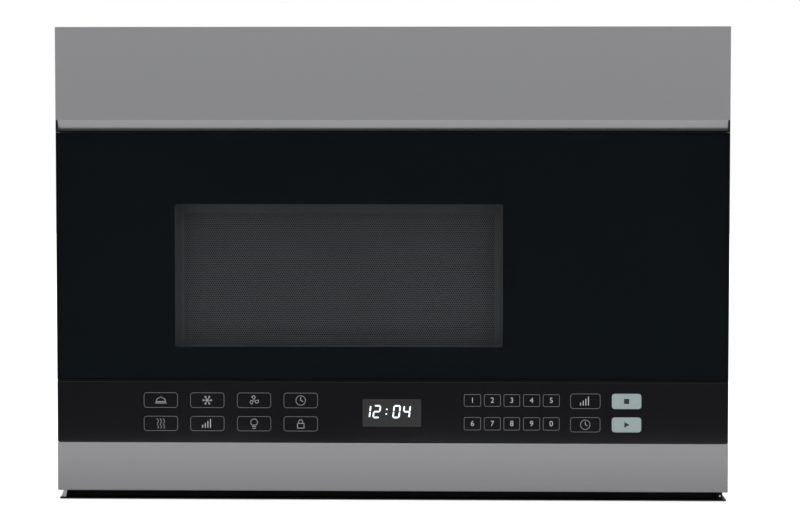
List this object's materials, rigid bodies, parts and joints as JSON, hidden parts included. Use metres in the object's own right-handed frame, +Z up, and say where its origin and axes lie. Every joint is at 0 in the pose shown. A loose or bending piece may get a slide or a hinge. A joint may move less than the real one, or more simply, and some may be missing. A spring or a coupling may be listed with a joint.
{
  "type": "over the range microwave oven",
  "caption": "Over the range microwave with a full width black glass door, stainless top and bottom panels, key panel with clock, turntable, vent blower and grease filters.",
  "frame": {"origin": "middle of the flat underside, at the centre of the overall width and depth", "axes": "+Z up, the door faces -Y, +X is to the right seen from the front"},
  "size_m": [0.606, 0.4, 0.427],
  "materials": {
    "stainless": "satin",
    "black_steel": "satin",
    "zinc_steel": "satin",
    "oven_enamel": "satin",
    "aluminium": "satin",
    "black_plastic": "matte",
    "key_panel": "gloss",
    "grey_plastic": "matte",
    "white_plastic": "matte",
    "door_glass": "gloss",
    "clear_glass": "gloss",
    "mica": "matte",
    "circuit_board": "matte",
    "iron_core": "matte",
    "spring_steel": "satin",
    "charcoal": "matte"
  },
  "bodies": {
    "case": {"outer_case": "black_steel", "rear_panel": "zinc_steel", "chassis_plate": "zinc_steel", "cord_bushing": "black_plastic", "front_plate": "oven_enamel", "oven_cavity": "oven_enamel", "waveguide_cover": "mica", "waveguide": "zinc_steel", "turntable_motor": "zinc_steel", "hinge_bracket_upper": "zinc_steel", "hinge_bracket_lower": "zinc_steel", "fascia_skin": "stainless", "vent_grille": "black_plastic", "lower_panel": "stainless", "touch_panel": "key_panel", "control_housing": "black_plastic", "control_board": "circuit_board", "display_module": "grey_plastic", "base_pan": "black_steel", "cooktop_lamp": "white_plastic", "magnetron": "zinc_steel", "transformer": "iron_core", "capacitor": "aluminium", "filter_board": "circuit_board", "oven_lamp": "white_plastic", "cooling_fan_frame": "zinc_steel", "cooling_fan_motor": "iron_core", "door_switch_1": "black_plastic", "door_switch_2": "black_plastic", "door_switch_3": "black_plastic", "interlock_bracket": "white_plastic", "blower_scroll_left": "grey_plastic", "blower_scroll_right": "grey_plastic", "blower_motor": "iron_core", "exhaust_collar": "zinc_steel", "charcoal_filter": "charcoal"},
    "door": {"door_glass": "door_glass", "door_frame": "black_plastic", "choke_pan": "black_steel", "inner_window": "clear_glass", "door_back_cover": "black_plastic", "latch_spring": "spring_steel"},
    "latch": {"latch_lever": "white_plastic"},
    "turntable": {"turntable_tray": "clear_glass", "turntable_coupler": "white_plastic"},
    "roller_ring": {"roller_ring": "white_plastic"},
    "roller_1": {"roller_1": "white_plastic"},
    "roller_2": {"roller_2": "white_plastic"},
    "roller_3": {"roller_3": "white_plastic"},
    "vent_blower": {"blower_shaft": "spring_steel", "blower_wheel_left": "grey_plastic", "blower_wheel_right": "grey_plastic"},
    "cooling_fan": {"cooling_fan_blades": "white_plastic"},
    "damper_flap": {"damper_flap": "aluminium"},
    "lamp_cover": {"lamp_cover": "clear_glass"},
    "grease_filter_left": {"grease_filter_left": "aluminium"},
    "grease_filter_right": {"grease_filter_right": "aluminium"},
    "switch_plunger_1": {"switch_plunger_1": "white_plastic"},
    "switch_plunger_2": {"switch_plunger_2": "white_plastic"},
    "switch_plunger_3": {"switch_plunger_3": "white_plastic"}
  },
  "joints": [
    {"name": "door_hinge", "type": "hinge", "parent": "case", "child": "door", "pos_m": [-0.292, -0.19, 0.22], "axis": [0, 0, -1], "range_deg": [0, 110]},
    {"name": "latch_slide", "type": "slide", "parent": "door", "child": "latch", "axis": [0, 0, 1], "range_m": [0, 0.0035], "stiffness_N_per_m": 300, "springref_m": -0.01, "deforming": ["latch_spring"]},
    {"name": "turntable_spin", "type": "hinge", "parent": "case", "child": "turntable", "pos_m": [-0.048, 0.01, 0.13], "axis": [0, 0, 1], "continuous": true},
    {"name": "roller_ring_spin", "type": "hinge", "parent": "case", "child": "roller_ring", "pos_m": [-0.048, 0.01, 0.13], "axis": [0, 0, 1], "continuous": true},
    {"name": "roller_1_spin", "type": "hinge", "parent": "roller_ring", "child": "roller_1", "pos_m": [-0.048, 0.106, 0.1362], "axis": [0, 1, 0], "continuous": true},
    {"name": "roller_2_spin", "type": "hinge", "parent": "roller_ring", "child": "roller_2", "pos_m": [-0.13114, -0.038, 0.1362], "axis": [-0.866, -0.5, 0], "continuous": true},
    {"name": "roller_3_spin", "type": "hinge", "parent": "roller_ring", "child": "roller_3", "pos_m": [0.03514, -0.038, 0.1362], "axis": [0.866, -0.5, 0], "continuous": true},
    {"name": "vent_blower_spin", "type": "hinge", "parent": "case", "child": "vent_blower", "pos_m": [0, 0.074, 0.3657], "axis": [1, 0, 0], "continuous": true},
    {"name": "cooling_fan_spin", "type": "hinge", "parent": "case", "child": "cooling_fan", "pos_m": [0.232, 0.125, 0.16], "axis": [0, 1, 0], "continuous": true},
    {"name": "damper_flap_hinge", "type": "hinge", "parent": "case", "child": "damper_flap", "pos_m": [0, 0.1375, 0.421], "axis": [-1, 0, 0], "range_deg": [0, 75]},
    {"name": "lamp_cover_hinge", "type": "hinge", "parent": "case", "child": "lamp_cover", "pos_m": [0, -0.088, 0.0018], "axis": [1, 0, 0], "range_deg": [0, 80]},
    {"name": "grease_filter_left_slide", "type": "slide", "parent": "case", "child": "grease_filter_left", "axis": [0, 1, 0], "range_m": [0, 0.008]},
    {"name": "grease_filter_right_slide", "type": "slide", "parent": "case", "child": "grease_filter_right", "axis": [0, 1, 0], "range_m": [0, 0.008]},
    {"name": "switch_plunger_1_press", "type": "slide", "parent": "case", "child": "switch_plunger_1", "axis": [0, 1, 0], "range_m": [0, 0.0015], "stiffness_N_per_m": 400, "springref_m": -0.002},
    {"name": "switch_plunger_2_press", "type": "slide", "parent": "case", "child": "switch_plunger_2", "axis": [0, 1, 0], "range_m": [0, 0.0015], "stiffness_N_per_m": 400, "springref_m": -0.002},
    {"name": "switch_plunger_3_press", "type": "slide", "parent": "case", "child": "switch_plunger_3", "axis": [0, 1, 0], "range_m": [0, 0.0015], "stiffness_N_per_m": 400, "springref_m": -0.002}
  ],
  "couplings": [
    {"joint": "roller_ring_spin", "follows": "turntable_spin", "ratio": 0.5},
    {"joint": "roller_1_spin", "follows": "turntable_spin", "ratio": -6.8571},
    {"joint": "roller_2_spin", "follows": "turntable_spin", "ratio": -6.8571},
    {"joint": "roller_3_spin", "follows": "turntable_spin", "ratio": -6.8571}
  ]
}
